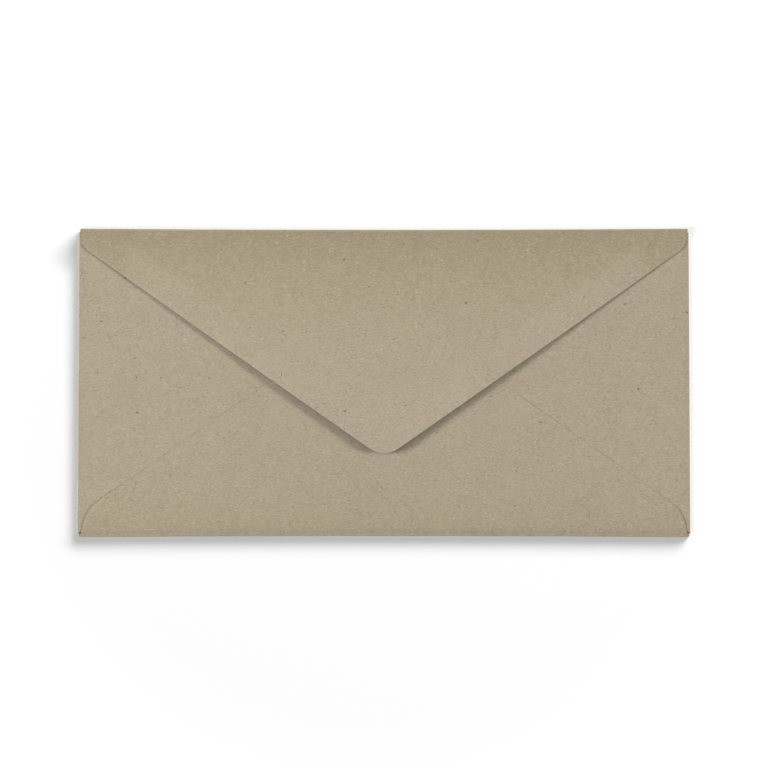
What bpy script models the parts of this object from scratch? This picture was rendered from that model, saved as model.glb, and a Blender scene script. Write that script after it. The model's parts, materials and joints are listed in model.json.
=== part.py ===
"""A pointed-flap envelope of the DL size, folded from one sheet of recycled kraft paper.

It lies on its address side, back up. X runs along the long side, +Y points to the top fold, which the seal flap
swings on, and +Z comes out of the back. The origin is the centre of the address face. Left is -X, as seen from
the back with the seal flap at the top.

The sheet is modelled as flat panels joined by bends. Side flaps fold in first, the bottom flap folds up over them
and is glued to them along its two slanting edges, and the seal flap folds down over all.
"""

import math

import bmesh
import bpy
from mathutils import Matrix, Vector

# The folded envelope, in metres
ENVELOPE_LENGTH = 0.220
ENVELOPE_HEIGHT = 0.110

# The sheet and what lies between its layers
PAPER_THICKNESS = 0.00015
POCKET_SPACE = 0.0006
GLUE_FILM_THICKNESS = 0.00005
LAYER_GAP = 0.0001
PANEL_SPLIT_GAP = 0.0001

# Seal flap: edges run from a point on the envelope's side to a point on its centre line, which is then rounded
SEAL_FLAP_POINT_DEPTH = 0.0824
SEAL_FLAP_EDGE_DROP = 0.0055
SEAL_FLAP_TIP_RADIUS = 0.010
SEAL_FLAP_SHOULDER_RADIUS = 0.0055
SEAL_FLAP_REST_LIFT_DEG = 1.5

# How far outside its own bend's axis the seal flap's crease turns: opened flat, it leaves the paper a small ridge
CREASE_AXIS_OFFSET = 0.00035

# Bottom flap, cut the same way as the seal flap
BOTTOM_FLAP_POINT_HEIGHT = 0.0845
BOTTOM_FLAP_EDGE_RISE = 0.0077
BOTTOM_FLAP_TIP_RADIUS = 0.014
BOTTOM_FLAP_SHOULDER_RADIUS = 0.009

# Both of these flaps are cut in a little at their fold, and lean in from there up to the shoulder
FLAP_SIDE_INSET = 0.0002
FLAP_SIDE_LEAN_DEG = 13.0

# Side flaps: a long taper, wider at the fold than at the inner end, which leans
SIDE_FLAP_DEPTH = 0.095
SIDE_FLAP_END_LEAN = 0.017
SIDE_FLAP_UPPER_TAPER_DEG = 16.0
SIDE_FLAP_LOWER_TAPER_DEG = 20.5
SIDE_FLAP_END_RADIUS = 0.010
SIDE_FLAP_TOP_RELIEF = 0.0012
SIDE_FLAP_CORNER_RELIEF = 0.0010

# Glue line of each seam, which follows the bottom flap's cut edge
SEAM_GLUE_INSET = 0.003
SEAM_GLUE_WIDTH = 0.006
SEAM_GLUE_SIDE_MARGIN = 0.020
SEAM_GLUE_END_MARGIN = 0.010

# Gum band under the seal flap, which follows its cut edges
GUM_INSET = 0.0025
GUM_WIDTH = 0.008
GUM_SIDE_MARGIN = 0.018
GUM_CORNER_RADIUS = 0.002
GUM_SEALING_CLEARANCE = 0.0001

# Fineness of round stretches
BEND_STEPS = 18
ARC_STEP_DEG = 5.0
SMOOTH_ANGLE_DEG = 30.0

# Layer heights, from the address face up
SIDE_FLAP_LEVEL = PAPER_THICKNESS + POCKET_SPACE
SEAM_GLUE_LEVEL = SIDE_FLAP_LEVEL + PAPER_THICKNESS + LAYER_GAP
BOTTOM_FLAP_LEVEL = SEAM_GLUE_LEVEL + GLUE_FILM_THICKNESS + LAYER_GAP
GUM_LEVEL = BOTTOM_FLAP_LEVEL + PAPER_THICKNESS + GUM_SEALING_CLEARANCE
SEAL_FLAP_LEVEL = GUM_LEVEL + GLUE_FILM_THICKNESS + LAYER_GAP


def bend_radius(level):
    """The inner radius of the bend that carries the sheet from the front panel to a layer at this height."""
    return (level - PAPER_THICKNESS) / 2


SIDE_BEND_OUTER = bend_radius(SIDE_FLAP_LEVEL) + PAPER_THICKNESS
BOTTOM_BEND_OUTER = bend_radius(BOTTOM_FLAP_LEVEL) + PAPER_THICKNESS
TOP_BEND_OUTER = bend_radius(SEAL_FLAP_LEVEL) + PAPER_THICKNESS

HALF_LENGTH = ENVELOPE_LENGTH / 2
HALF_HEIGHT = ENVELOPE_HEIGHT / 2

# Lines where the flat panels end and the bends begin
SIDE_BEND_X = HALF_LENGTH - SIDE_BEND_OUTER
BOTTOM_BEND_Y = -HALF_HEIGHT + BOTTOM_BEND_OUTER
TOP_BEND_Y = HALF_HEIGHT - TOP_BEND_OUTER

# The seal flap's pivot lies halfway between the closed flap and the front panel, so that the flap comes to lie in
# the front panel's plane when it is turned half a turn
SEAL_PIVOT_Y = TOP_BEND_Y + CREASE_AXIS_OFFSET
SEAL_PIVOT_Z = TOP_BEND_OUTER


def linear(channel):
    """One sRGB channel, 0 to 255, as linear light."""
    value = channel / 255
    if value <= 0.04045:
        return value / 12.92
    return ((value + 0.055) / 1.055) ** 2.4


def make_material(name, srgb, roughness, metallic=0.0):
    """A plain Principled material with a colour in sRGB bytes."""
    material = bpy.data.materials.new(name)
    material.use_nodes = True
    shader = material.node_tree.nodes["Principled BSDF"]
    colour = [linear(channel) for channel in srgb]
    shader.inputs["Base Color"].default_value = (*colour, 1.0)
    shader.inputs["Roughness"].default_value = roughness
    shader.inputs["Metallic"].default_value = metallic
    material.diffuse_color = (*colour, 1.0)
    return material


def rounded_corner(before, corner, after, radius):
    """The points of an arc that rounds a corner, kept within half of the shorter side next to it."""
    to_before = before - corner
    to_after = after - corner
    turn = math.pi - to_before.angle(to_after)
    if radius <= 0 or turn < math.radians(ARC_STEP_DEG):
        return [corner]
    room = min(to_before.length, to_after.length) / 2
    tangent = min(radius * math.tan(turn / 2), room)
    used_radius = tangent / math.tan(turn / 2)
    middle = (to_before.normalized() + to_after.normalized()).normalized()
    centre = corner + middle * used_radius / math.cos(turn / 2)
    start = corner + to_before.normalized() * tangent - centre
    end = corner + to_after.normalized() * tangent - centre
    sweep = start.angle_signed(end)
    steps = max(2, round(turn / math.radians(ARC_STEP_DEG)))
    points = []
    for step in range(steps + 1):
        spin = Matrix.Rotation(-sweep * step / steps, 2)
        points.append(centre + spin @ start)
    return points


def rounded_outline(corners):
    """The closed outline through (x, y, radius) corners, each rounded to its radius."""
    spots = [Vector((x, y)) for x, y, radius in corners]
    points = []
    for index, (x, y, radius) in enumerate(corners):
        after = spots[(index + 1) % len(spots)]
        points += rounded_corner(spots[index - 1], spots[index], after, radius)
    return points


def finish_object(name, mesh_builder, material, location, parent=None):
    """Turns a closed bmesh into a named object with its faces pointing out."""
    bmesh.ops.recalc_face_normals(mesh_builder, faces=mesh_builder.faces)
    mesh = bpy.data.meshes.new(name)
    mesh_builder.to_mesh(mesh)
    mesh_builder.free()
    mesh.materials.append(material)
    mesh.shade_smooth()
    mesh.set_sharp_from_angle(angle=math.radians(SMOOTH_ANGLE_DEG))
    piece = bpy.data.objects.new(name, mesh)
    piece.location = location
    piece.parent = parent
    bpy.context.scene.collection.objects.link(piece)
    return piece


def cut_sheet(name, outline, thickness, material, location, parent=None):
    """A flat piece cut to an outline, its underside at its own z of zero."""
    mesh_builder = bmesh.new()
    corners = [mesh_builder.verts.new((x, y, 0)) for x, y in outline]
    underside = mesh_builder.faces.new(corners)
    grown = bmesh.ops.extrude_face_region(mesh_builder, geom=[underside])
    raised = [item for item in grown["geom"] if isinstance(item, bmesh.types.BMVert)]
    bmesh.ops.translate(mesh_builder, verts=raised, vec=(0, 0, thickness))
    return finish_object(name, mesh_builder, material, location, parent)


def bend_sheet(name, along, ends, outer_radius, angle, material, location):
    """A bend of the sheet: its edge face, turned about the bend's axis, which is the object's own origin.

    along is the axis, ends are the two places on it where the bend stops. The bend starts under the axis, where
    the front panel lies, and turns by the signed angle about the axis.
    """
    inner_radius = outer_radius - PAPER_THICKNESS
    mesh_builder = bmesh.new()
    rim = [
        along * ends[0] + Vector((0, 0, -outer_radius)),
        along * ends[1] + Vector((0, 0, -outer_radius)),
        along * ends[1] + Vector((0, 0, -inner_radius)),
        along * ends[0] + Vector((0, 0, -inner_radius)),
    ]
    edge_face = mesh_builder.faces.new([mesh_builder.verts.new(spot) for spot in rim])
    bmesh.ops.spin(
        mesh_builder, geom=[edge_face], cent=(0, 0, 0), axis=along, angle=angle, steps=BEND_STEPS
    )
    return finish_object(name, mesh_builder, material, location)


class PointedFlap:
    """The cut shape of the seal flap or the bottom flap, measured across and away from the flap's fold."""

    def __init__(self, point, edge_start, tip_radius, shoulder_radius):
        self.point = point
        self.slope = (point - edge_start) / HALF_LENGTH
        self.tip_radius = tip_radius
        self.shoulder_radius = shoulder_radius
        self.fold_half_width = HALF_LENGTH - FLAP_SIDE_INSET
        self.lean = math.tan(math.radians(FLAP_SIDE_LEAN_DEG))

    def half_width(self, away):
        """Half of the width across the flap between its fold and its shoulders."""
        return self.fold_half_width - self.lean * away

    def edge(self, across):
        """How far from the fold the slanting edge is, at this distance from the centre line."""
        return self.point - self.slope * across

    def inward(self, distance):
        """How much nearer the fold a line lies that runs inside the slanting edge at this distance from it."""
        return distance * math.hypot(1, self.slope)

    def corners(self, root):
        """(across, away, radius) corners, from a root line near the fold, round the shoulders and the tip."""
        shoulder = self.edge(self.fold_half_width) / (1 - self.slope * self.lean)
        shoulder_half_width = self.half_width(shoulder)
        return [
            (-self.half_width(root), root, 0),
            (-shoulder_half_width, shoulder, self.shoulder_radius),
            (0, self.point, self.tip_radius),
            (shoulder_half_width, shoulder, self.shoulder_radius),
            (self.half_width(root), root, 0),
        ]


def side_flap_depth(y):
    """How far in from the side edge the slanting inner end of a side flap lies, at this height."""
    top, bottom = side_flap_end()
    share = (top - y) / (top - bottom)
    return SIDE_FLAP_DEPTH - SIDE_FLAP_END_LEAN * share


def side_flap_root():
    """The highest and lowest points of a side flap's fold."""
    return TOP_BEND_Y - SIDE_FLAP_TOP_RELIEF, BOTTOM_BEND_Y + SIDE_FLAP_CORNER_RELIEF


def side_flap_end():
    """The heights where a side flap's upper and lower edges meet its inner end."""
    top, bottom = side_flap_root()
    upper_taper = math.tan(math.radians(SIDE_FLAP_UPPER_TAPER_DEG))
    lower_taper = math.tan(math.radians(SIDE_FLAP_LOWER_TAPER_DEG))
    end_top = top - SIDE_FLAP_DEPTH * upper_taper
    end_bottom = bottom + (SIDE_FLAP_DEPTH - SIDE_FLAP_END_LEAN) * lower_taper
    return end_top, end_bottom


def build_front(paper):
    """The address panel, flat between the bends."""
    half_length = SIDE_BEND_X - PANEL_SPLIT_GAP
    top = TOP_BEND_Y - PANEL_SPLIT_GAP
    bottom = BOTTOM_BEND_Y + PANEL_SPLIT_GAP
    outline = [(-half_length, bottom), (half_length, bottom), (half_length, top), (-half_length, top)]
    cut_sheet("front_panel", outline, PAPER_THICKNESS, paper, (0, 0, 0))


def build_side(name, side, paper):
    """One side flap with its bend; side is -1 for the left and 1 for the right."""
    top, bottom = side_flap_root()
    bend_sheet(
        f"{name}_side_fold",
        Vector((0, 1, 0)),
        (bottom, top),
        SIDE_BEND_OUTER,
        -side * math.pi,
        paper,
        (side * SIDE_BEND_X, 0, SIDE_BEND_OUTER),
    )
    end_top, end_bottom = side_flap_end()
    root_x = SIDE_BEND_X - PANEL_SPLIT_GAP
    end_top_x = HALF_LENGTH - SIDE_FLAP_DEPTH
    end_bottom_x = end_top_x + SIDE_FLAP_END_LEAN
    corners = [
        (side * root_x, bottom, 0),
        (side * end_bottom_x, end_bottom, SIDE_FLAP_END_RADIUS),
        (side * end_top_x, end_top, SIDE_FLAP_END_RADIUS),
        (side * root_x, top, 0),
    ]
    location = (0, 0, SIDE_FLAP_LEVEL)
    cut_sheet(f"{name}_side_flap", rounded_outline(corners), PAPER_THICKNESS, paper, location)


def build_bottom(flap, paper):
    """The bottom flap and its bend."""
    bend_half_width = flap.half_width(BOTTOM_BEND_OUTER)
    bend_sheet(
        "bottom_fold",
        Vector((1, 0, 0)),
        (-bend_half_width, bend_half_width),
        BOTTOM_BEND_OUTER,
        -math.pi,
        paper,
        (0, BOTTOM_BEND_Y, BOTTOM_BEND_OUTER),
    )
    root = BOTTOM_BEND_OUTER + PANEL_SPLIT_GAP
    outline = rounded_outline(flap.corners(root))
    location = (0, -HALF_HEIGHT, BOTTOM_FLAP_LEVEL)
    cut_sheet("bottom_flap", outline, PAPER_THICKNESS, paper, location)


def build_seam_glue(name, side, flap, glue):
    """The glue line between one side flap and the bottom flap, a straight band along the seam."""
    outer_x = HALF_LENGTH - SEAM_GLUE_SIDE_MARGIN
    edge_lines = [flap.inward(SEAM_GLUE_INSET), flap.inward(SEAM_GLUE_INSET + SEAM_GLUE_WIDTH)]
    crossing_y = flap.edge(HALF_LENGTH - SIDE_FLAP_DEPTH) - HALF_HEIGHT
    inner_x = HALF_LENGTH - side_flap_depth(crossing_y) + SEAM_GLUE_END_MARGIN
    radius = SEAM_GLUE_WIDTH / 2
    corners = [
        (side * outer_x, flap.edge(outer_x) - edge_lines[0], radius),
        (side * inner_x, flap.edge(inner_x) - edge_lines[0], radius),
        (side * inner_x, flap.edge(inner_x) - edge_lines[1], radius),
        (side * outer_x, flap.edge(outer_x) - edge_lines[1], radius),
    ]
    location = (0, -HALF_HEIGHT, SEAM_GLUE_LEVEL)
    outline = rounded_outline(corners)
    cut_sheet(f"{name}_seam_glue", outline, GLUE_FILM_THICKNESS, glue, location)


def build_seal(flap, paper, gum):
    """The top crease, and the seal flap with its gum band on a pivot, lifted a little from the back."""
    lift = math.radians(SEAL_FLAP_REST_LIFT_DEG)
    bend_half_width = flap.half_width(TOP_BEND_OUTER)
    bend_sheet(
        "top_crease",
        Vector((1, 0, 0)),
        (-bend_half_width, bend_half_width),
        TOP_BEND_OUTER,
        math.pi - lift,
        paper,
        (0, TOP_BEND_Y, TOP_BEND_OUTER),
    )
    pivot = bpy.data.objects.new("seal_flap_pivot", None)
    pivot.location = (0, SEAL_PIVOT_Y, SEAL_PIVOT_Z)
    pivot.rotation_euler = (-lift, 0, 0)
    bpy.context.scene.collection.objects.link(pivot)

    to_fold = HALF_HEIGHT - SEAL_PIVOT_Y
    root = TOP_BEND_OUTER + PANEL_SPLIT_GAP
    outline = [(x, -away) for x, away in rounded_outline(flap.corners(root))]
    location = (0, to_fold, SEAL_FLAP_LEVEL - SEAL_PIVOT_Z)
    cut_sheet("seal_flap", outline, PAPER_THICKNESS, paper, location, pivot)

    start_x = HALF_LENGTH - GUM_SIDE_MARGIN
    outer_line = flap.inward(GUM_INSET)
    inner_line = flap.inward(GUM_INSET + GUM_WIDTH)
    corners = [
        (-start_x, flap.edge(start_x) - inner_line, GUM_CORNER_RADIUS),
        (-start_x, flap.edge(start_x) - outer_line, GUM_CORNER_RADIUS),
        (0, flap.point - outer_line, SEAL_FLAP_TIP_RADIUS - GUM_INSET),
        (start_x, flap.edge(start_x) - outer_line, GUM_CORNER_RADIUS),
        (start_x, flap.edge(start_x) - inner_line, GUM_CORNER_RADIUS),
        (0, flap.point - inner_line, GUM_CORNER_RADIUS),
    ]
    outline = [(x, -away) for x, away in rounded_outline(corners)]
    location = (0, to_fold, GUM_LEVEL - SEAL_PIVOT_Z)
    cut_sheet("seal_gum", outline, GLUE_FILM_THICKNESS, gum, location, pivot)


def main():
    """Clears the scene and builds the envelope."""
    for item in list(bpy.data.objects):
        bpy.data.objects.remove(item, do_unlink=True)

    paper = make_material("recycled_kraft_paper", (176, 163, 141), 0.9)
    glue = make_material("dried_seam_glue", (206, 196, 172), 0.5)
    gum = make_material("dried_flap_gum", (196, 184, 158), 0.3)

    bottom_cut = PointedFlap(
        BOTTOM_FLAP_POINT_HEIGHT,
        BOTTOM_FLAP_EDGE_RISE,
        BOTTOM_FLAP_TIP_RADIUS,
        BOTTOM_FLAP_SHOULDER_RADIUS,
    )
    seal_cut = PointedFlap(
        SEAL_FLAP_POINT_DEPTH,
        SEAL_FLAP_EDGE_DROP,
        SEAL_FLAP_TIP_RADIUS,
        SEAL_FLAP_SHOULDER_RADIUS,
    )

    build_front(paper)
    for name, side in (("left", -1), ("right", 1)):
        build_side(name, side, paper)
        build_seam_glue(name, side, bottom_cut, glue)
    build_bottom(bottom_cut, paper)
    build_seal(seal_cut, paper, gum)


main()
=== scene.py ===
"""The looks of a pointed-flap envelope in recycled kraft paper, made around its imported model.

The sheet is cut flat as one die cuts it, divided where it will bend, and folded by a Geometry Nodes tree. The
seal flap is a second piece of the same sheet, because it swings on the top crease.
"""

import json
import math
from functools import partial

import bmesh
import bpy
import numpy as np
from bpy.props import FloatProperty, FloatVectorProperty, IntProperty, PointerProperty
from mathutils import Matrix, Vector

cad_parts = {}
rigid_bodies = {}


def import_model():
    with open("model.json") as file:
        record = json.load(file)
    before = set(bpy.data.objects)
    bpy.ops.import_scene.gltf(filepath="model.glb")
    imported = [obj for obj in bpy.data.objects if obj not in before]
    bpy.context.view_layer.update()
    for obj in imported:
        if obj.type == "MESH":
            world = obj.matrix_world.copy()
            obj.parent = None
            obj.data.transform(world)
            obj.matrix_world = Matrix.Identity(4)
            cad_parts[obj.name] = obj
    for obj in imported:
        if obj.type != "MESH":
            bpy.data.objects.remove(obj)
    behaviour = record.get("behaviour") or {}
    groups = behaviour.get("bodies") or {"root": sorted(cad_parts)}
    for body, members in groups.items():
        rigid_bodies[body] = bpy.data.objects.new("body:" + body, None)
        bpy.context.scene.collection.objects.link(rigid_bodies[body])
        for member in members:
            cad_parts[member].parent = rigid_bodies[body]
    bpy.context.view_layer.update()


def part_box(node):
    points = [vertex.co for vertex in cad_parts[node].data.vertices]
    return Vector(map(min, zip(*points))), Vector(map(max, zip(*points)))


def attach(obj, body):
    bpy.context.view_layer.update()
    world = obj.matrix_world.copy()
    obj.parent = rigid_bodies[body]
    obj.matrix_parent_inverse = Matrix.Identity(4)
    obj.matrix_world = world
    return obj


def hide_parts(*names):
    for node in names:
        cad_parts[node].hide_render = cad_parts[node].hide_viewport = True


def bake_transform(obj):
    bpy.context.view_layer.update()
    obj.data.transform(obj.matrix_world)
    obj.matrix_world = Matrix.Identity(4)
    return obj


bl_info = {
    "name": "Kraft envelope",
    "version": (1, 0, 0),
    "blender": (4, 5, 0),
    "location": "View3D > Sidebar > Envelope",
    "description": "Folds and dresses a pointed-flap envelope in recycled kraft paper",
    "category": "Object",
}

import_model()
MM = 0.001
SAME_PLACE = 0.002 * MM

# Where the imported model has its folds, layers and hinge
HALF_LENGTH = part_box("right_side_fold")[1].x
HALF_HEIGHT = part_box("top_crease")[1].y
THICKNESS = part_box("front_panel")[1].z
SIDE_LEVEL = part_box("left_side_flap")[0].z
BOTTOM_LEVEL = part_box("bottom_flap")[0].z
TOP_CREASE_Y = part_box("top_crease")[0].y
TOP_CREASE_RADIUS = HALF_HEIGHT - TOP_CREASE_Y - THICKNESS / 2
CREASE_CENTRE_Z = THICKNESS / 2 + TOP_CREASE_RADIUS

# How finely the sheet is divided across each bend, and a film along its path
TIGHT_LINES = 14
SIDE_WIDE_LINES = 5
BOTTOM_WIDE_LINES = 6
CREASE_LINES = 20
ROUND_STEPS = 16
FILM_STEP = 1.4 * MM
LEAST_FILM_RADIUS = 2.5 * MM
SHARP_ANGLE = math.radians(35.0)

# How far from a cut, a fold or the gum's ends the sheet still shows them, and a distance far from them all
PRESSED_STRIP = (9 * MM, 22 * MM)
FOLD_FADE = 3 * MM
GUM_FADE = 4 * MM
FAR = 1.0

# The share of its loose length over which a corner lifts, and the height that lets the sheet swell freely
LOOSE_FADE = 0.6
SETTLED_LEVEL = 1.0 * MM

# The floor, and the distances from the envelope's middle between which it turns evenly white
FLOOR_REACH = 3.0
FLOOR_GAP = 0.02 * MM
WHITE_FADE = (0.115, 0.40)

# The lamps for the floor alone, in degrees as seen from the envelope: a low fan, and one on the left
FLOOR_LIGHT_DISTANCE = 6.0
LOW_LIGHT_ELEVATIONS = (6.8, 8.0, 9.6, 14.0)
LOW_LIGHT_AZIMUTH = 54
LOW_LIGHT_WIDTH = 44
LOW_LIGHT_HEIGHT_SHARE = 0.25
COUNTER_LIGHT_SPREAD = (24, 14)
COUNTER_LIGHT_AZIMUTH = 205
COUNTER_LIGHT_ELEVATION = 26
SENSOR_WIDTH_MM = 36.0

# The nodes that the trees use most, with their usual settings, and the named inputs that aren't plain numbers
MATH = "ShaderNodeMath"
VECTOR = "ShaderNodeVectorMath"
NOISE = "ShaderNodeTexNoise"
RAMP = "ShaderNodeMapRange"
MIX = "ShaderNodeMix"
SOFT = {"interpolation_type": "SMOOTHSTEP"}
COLOURS = {"data_type": "RGBA"}
SOCKET_KINDS = {"Direction": "NodeSocketVector", "Seed": "NodeSocketInt"}


def linear(code):
    """An sRGB hex colour as linear light with full alpha."""
    colour = []
    for start in (0, 2, 4):
        value = int(code[start:start + 2], 16) / 255
        colour.append(value / 12.92 if value <= 0.04045 else ((value + 0.055) / 1.055) ** 2.4)
    return (*colour, 1.0)


def metres(name, description, default):
    """A size in metres that the sidebar shows."""
    return FloatProperty(name=name, description=description, default=default, unit="LENGTH", precision=6)


def degrees(name, description, default):
    """An angle in degrees, which the sidebar shows so too."""
    return FloatProperty(name=name, description=description, default=math.radians(default), subtype="ANGLE")


def fraction(name, description, default):
    """A brightness or a share, from 0 to 1."""
    return FloatProperty(name=name, description=description, default=default, min=0.0, max=1.0)


def hex_colour(name, description, code):
    """A colour that the sidebar shows, from its sRGB hex code."""
    return FloatVectorProperty(
        name=name, description=description, default=linear(code), size=4, subtype="COLOR", min=0.0, max=1.0
    )


class EnvelopeCutSettings(bpy.types.PropertyGroup):
    """The die's outline of the flaps."""

    seal_side_inset: metres("Seal flap inset", "How far the seal flap is cut in at its fold", 0.08 * MM)
    seal_side_lean: degrees("Seal flap lean", "How far its sides lean in up to the shoulders", 12.0)
    seal_point: metres("Seal flap point", "Fold to where the unrounded cut edges would meet", 82.4 * MM)
    seal_edge_start: metres("Seal flap edge start", "Fold to the cut edge, at the envelope's side", 5.5 * MM)
    seal_tip_radius: metres("Seal flap tip", "Radius of the seal flap's tip", 10.0 * MM)
    seal_shoulder_radius: metres("Seal flap shoulder", "Radius of its shoulders", 5.5 * MM)
    bottom_point: metres("Bottom flap point", "Fold to where its unrounded cut edges would meet", 84.5 * MM)
    bottom_edge_start: metres("Bottom flap edge start", "Fold to the cut edge, at the side", 7.7 * MM)
    bottom_tip_radius: metres("Bottom flap tip", "Radius of the bottom flap's tip", 14.0 * MM)
    bottom_shoulder_radius: metres("Bottom flap shoulder", "Radius of its shoulders", 9.0 * MM)
    bottom_side_lean: degrees("Bottom flap lean", "How far its sides lean in up to the shoulders", 18.0)
    side_depth: metres("Side flap depth", "How far the side flaps reach in", 95.0 * MM)
    side_end_lean: metres("Side flap end lean", "How much their inner end slants", 17.0 * MM)
    side_upper_taper: degrees("Side flap upper taper", "Slant of their upper edge", 16.0)
    side_lower_taper: degrees("Side flap lower taper", "Slant of their lower edge", 20.5)
    side_end_radius: metres("Side flap end radius", "Radius of their inner corners", 10.0 * MM)
    side_top_relief: metres("Side flap top relief", "Cut back from the top crease", 0.4 * MM)
    side_corner_relief: metres("Side flap corner relief", "Cut back from the bottom fold", 0.6 * MM)


class EnvelopeFoldSettings(bpy.types.PropertyGroup):
    """How the sheet is folded, and how it has settled since."""

    side_radius: metres("Side fold radius", "Radius of the sheet's middle at the side folds", 0.33 * MM)
    side_slope: degrees("Side fold slope", "How steeply the side flaps rise from their fold", 5.0)
    bottom_radius: metres("Bottom fold radius", "Radius of the sheet's middle at the bottom fold", 0.3 * MM)
    bottom_slope: degrees("Bottom fold slope", "How steeply the bottom flap rises from its fold", 13.0)
    straight_rise: metres("Straight rise", "Length of sheet that rises before it levels off", 0.4 * MM)
    flap_start_slope: degrees("Flap start slope", "How the seal flap leaves the top crease", 1.1)
    flap_lift_start: metres("Lift start", "Fold to where the seal flap starts to curl away", 20.0 * MM)
    flap_lift_length: metres("Lift length", "Length over which it curls away", 16.0 * MM)
    flap_lift: degrees("Lift", "How far it curls away from the back", 0.6)
    flap_droop_start: metres("Droop start", "Fold to where the tip starts to level off", 62.0 * MM)
    flap_droop_length: metres("Droop length", "Length over which the tip levels off", 10.0 * MM)
    flap_droop: degrees("Droop", "How far the tip levels off", 0.4)
    corner_drop: metres("Corner drop", "How much closer to the pocket its outer parts lie", 0.42 * MM)
    corner_drop_inner: metres("Corner drop inner end", "Centre line to where they start to drop", 15.0 * MM)
    corner_drop_outer: metres("Corner drop outer end", "Centre line to where they lie lowest", 75.0 * MM)
    corner_drop_length: metres("Corner drop length", "Fold to where they lie lowest", 8.0 * MM)
    seam_gap: metres("Seam gap", "How far the glued cut edges stay off the side flaps", 0.008 * MM)
    loose_corner: metres("Loose corner", "How far the bottom flap's unglued corners stand off", 0.16 * MM)
    left_loose_length: metres("Left loose length", "Side to where the left seam is glued down", 22.0 * MM)
    right_loose_length: metres("Right loose length", "Side to where the right seam is glued down", 6.5 * MM)
    crushed_edge: fraction("Crushed edge", "Share of the thickness that the die leaves at a cut edge", 0.35)
    middle_spread: metres("Middle spread", "How far the long edges spread at their middle", 0.12 * MM)
    end_spread: metres("End spread", "How far they spread at their ends", 0.57 * MM)
    bulge: metres("Bulge", "How far the back swells over the empty pocket", 0.04 * MM)
    cockle_height: metres("Cockle height", "Height of the sheet's slow waves", 0.04 * MM)
    cockle_size: metres("Cockle size", "Length of the sheet's slow waves", 28.0 * MM)
    grid: metres("Grid", "Distance between the dividing lines of the flat sheet", 1.8 * MM)


class EnvelopeGlueSettings(bpy.types.PropertyGroup):
    """The dried films of gum and glue."""

    gum_inset: metres("Gum inset", "Cut edge to gum", 2.5 * MM)
    gum_width: metres("Gum width", "Width of the gum band", 8.0 * MM)
    gum_side_margin: metres("Gum side margin", "Envelope's side to gum", 18.0 * MM)
    glue_inset: metres("Glue inset", "Cut edge to seam glue", 3.0 * MM)
    glue_width: metres("Glue width", "Width of the seam glue", 6.0 * MM)
    glue_side_margin: metres("Glue side margin", "Envelope's side to seam glue", 20.0 * MM)
    glue_end_margin: metres("Glue end margin", "Side flap's inner end to seam glue", 10.0 * MM)
    film_height: metres("Film height", "Height of a film at its middle", 0.04 * MM)


class EnvelopePaperSettings(bpy.types.PropertyGroup):
    """The colours and furnish of the recycled kraft paper."""

    kraft: hex_colour("Kraft", "The paper's own colour", "B2A58E")
    # Painted light: the seal flap's kraft is lighter than the pocket's, for the light that the raised flap
    # catches
    flap_kraft_painted_lighter: hex_colour("Flap kraft", "The seal flap's colour, which less handling has darkened", "B7AA93")
    # Painted shade: a darker, warmer kraft that stands in for the shade near the folds
    shade: hex_colour("Shaded kraft", "The paper right at a fold, where it is rubbed and soiled", "A19377")
    dark_fibre: hex_colour("Dark fibre", "Unbleached fibres and shives", "74644B")
    light_fibre: hex_colour("Light fibre", "Bleached fibres from recycled white paper", "DAD0BA")
    # On the seal flap's face it also makes a pale line along the cut that is partly painted highlight
    cut_edge: hex_colour("Cut edge", "The sheet's torn-fibre edge", "C9BFA8")
    # Partly painted shadow: the glued edge is dark also to stand in for the shadow of the seam's step
    glued_and_shaded_edge: hex_colour("Glued edge", "A cut edge that has taken up glue and dirt", "94876E")
    gum: hex_colour("Gum", "Dried dextrin gum", "B5A684")
    glue: hex_colour("Glue", "Dried seam glue", "CEC4AC")
    fibre_length: metres("Fibre length", "Length of a loose fibre", 0.95 * MM)
    fibres_per_square_cm: IntProperty(
        name="Fibres", description="Loose fibres on a square centimetre", default=8, min=0, max=60
    )


class EnvelopeStageSettings(bpy.types.PropertyGroup):
    """The floor, the lights and the camera."""

    left_light: fraction("Left light", "Brightness that the left light gives a white sheet", 0.445)
    left_elevation: degrees("Left elevation", "Height of the left light above the floor", 25.5)
    left_distance: metres("Left distance", "Envelope to the left light", 1.2)
    right_light: fraction("Right light", "Brightness that the right light gives a white sheet", 0.356)
    right_elevation: degrees("Right elevation", "Height of the right light above the floor", 22.0)
    right_distance: metres("Right distance", "Envelope to the right light", 1.4)
    back_light: fraction("Back light", "Brightness that the light from behind gives a white sheet", 0.120)
    back_elevation: degrees("Back elevation", "Height of the light from behind above the floor", 62.0)
    back_distance: metres("Back distance", "Envelope to the light from behind", 1.4)
    ambient: fraction("Ambient", "Brightness that the light from all round gives", 0.010)
    floor: hex_colour("Floor", "The pale floor", "F4F4F4")
    floor_shadow: fraction("Floor shadow", "Share of the floor's light that comes low from behind", 0.635)
    floor_counter: fraction("Floor counter", "Share of the floor's light that comes from in front", 0.20)
    floor_glow: fraction("Floor glow", "Brightness that the floor keeps in the deepest shadow", 0.30)
    camera_distance: metres("Camera distance", "Envelope to camera", 0.9)
    camera_elevation: degrees("Camera elevation", "Height of the camera above the floor", 87.3)
    frame_width: metres("Frame width", "Width of what the camera sees at the envelope", 0.2763)
    frame_drop: metres("Frame drop", "How far below the envelope's middle the camera aims", 0.55 * MM)


SETTINGS = {
    "envelope_cut": EnvelopeCutSettings,
    "envelope_fold": EnvelopeFoldSettings,
    "envelope_glue": EnvelopeGlueSettings,
    "envelope_paper": EnvelopePaperSettings,
    "envelope_stage": EnvelopeStageSettings,
}


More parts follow.
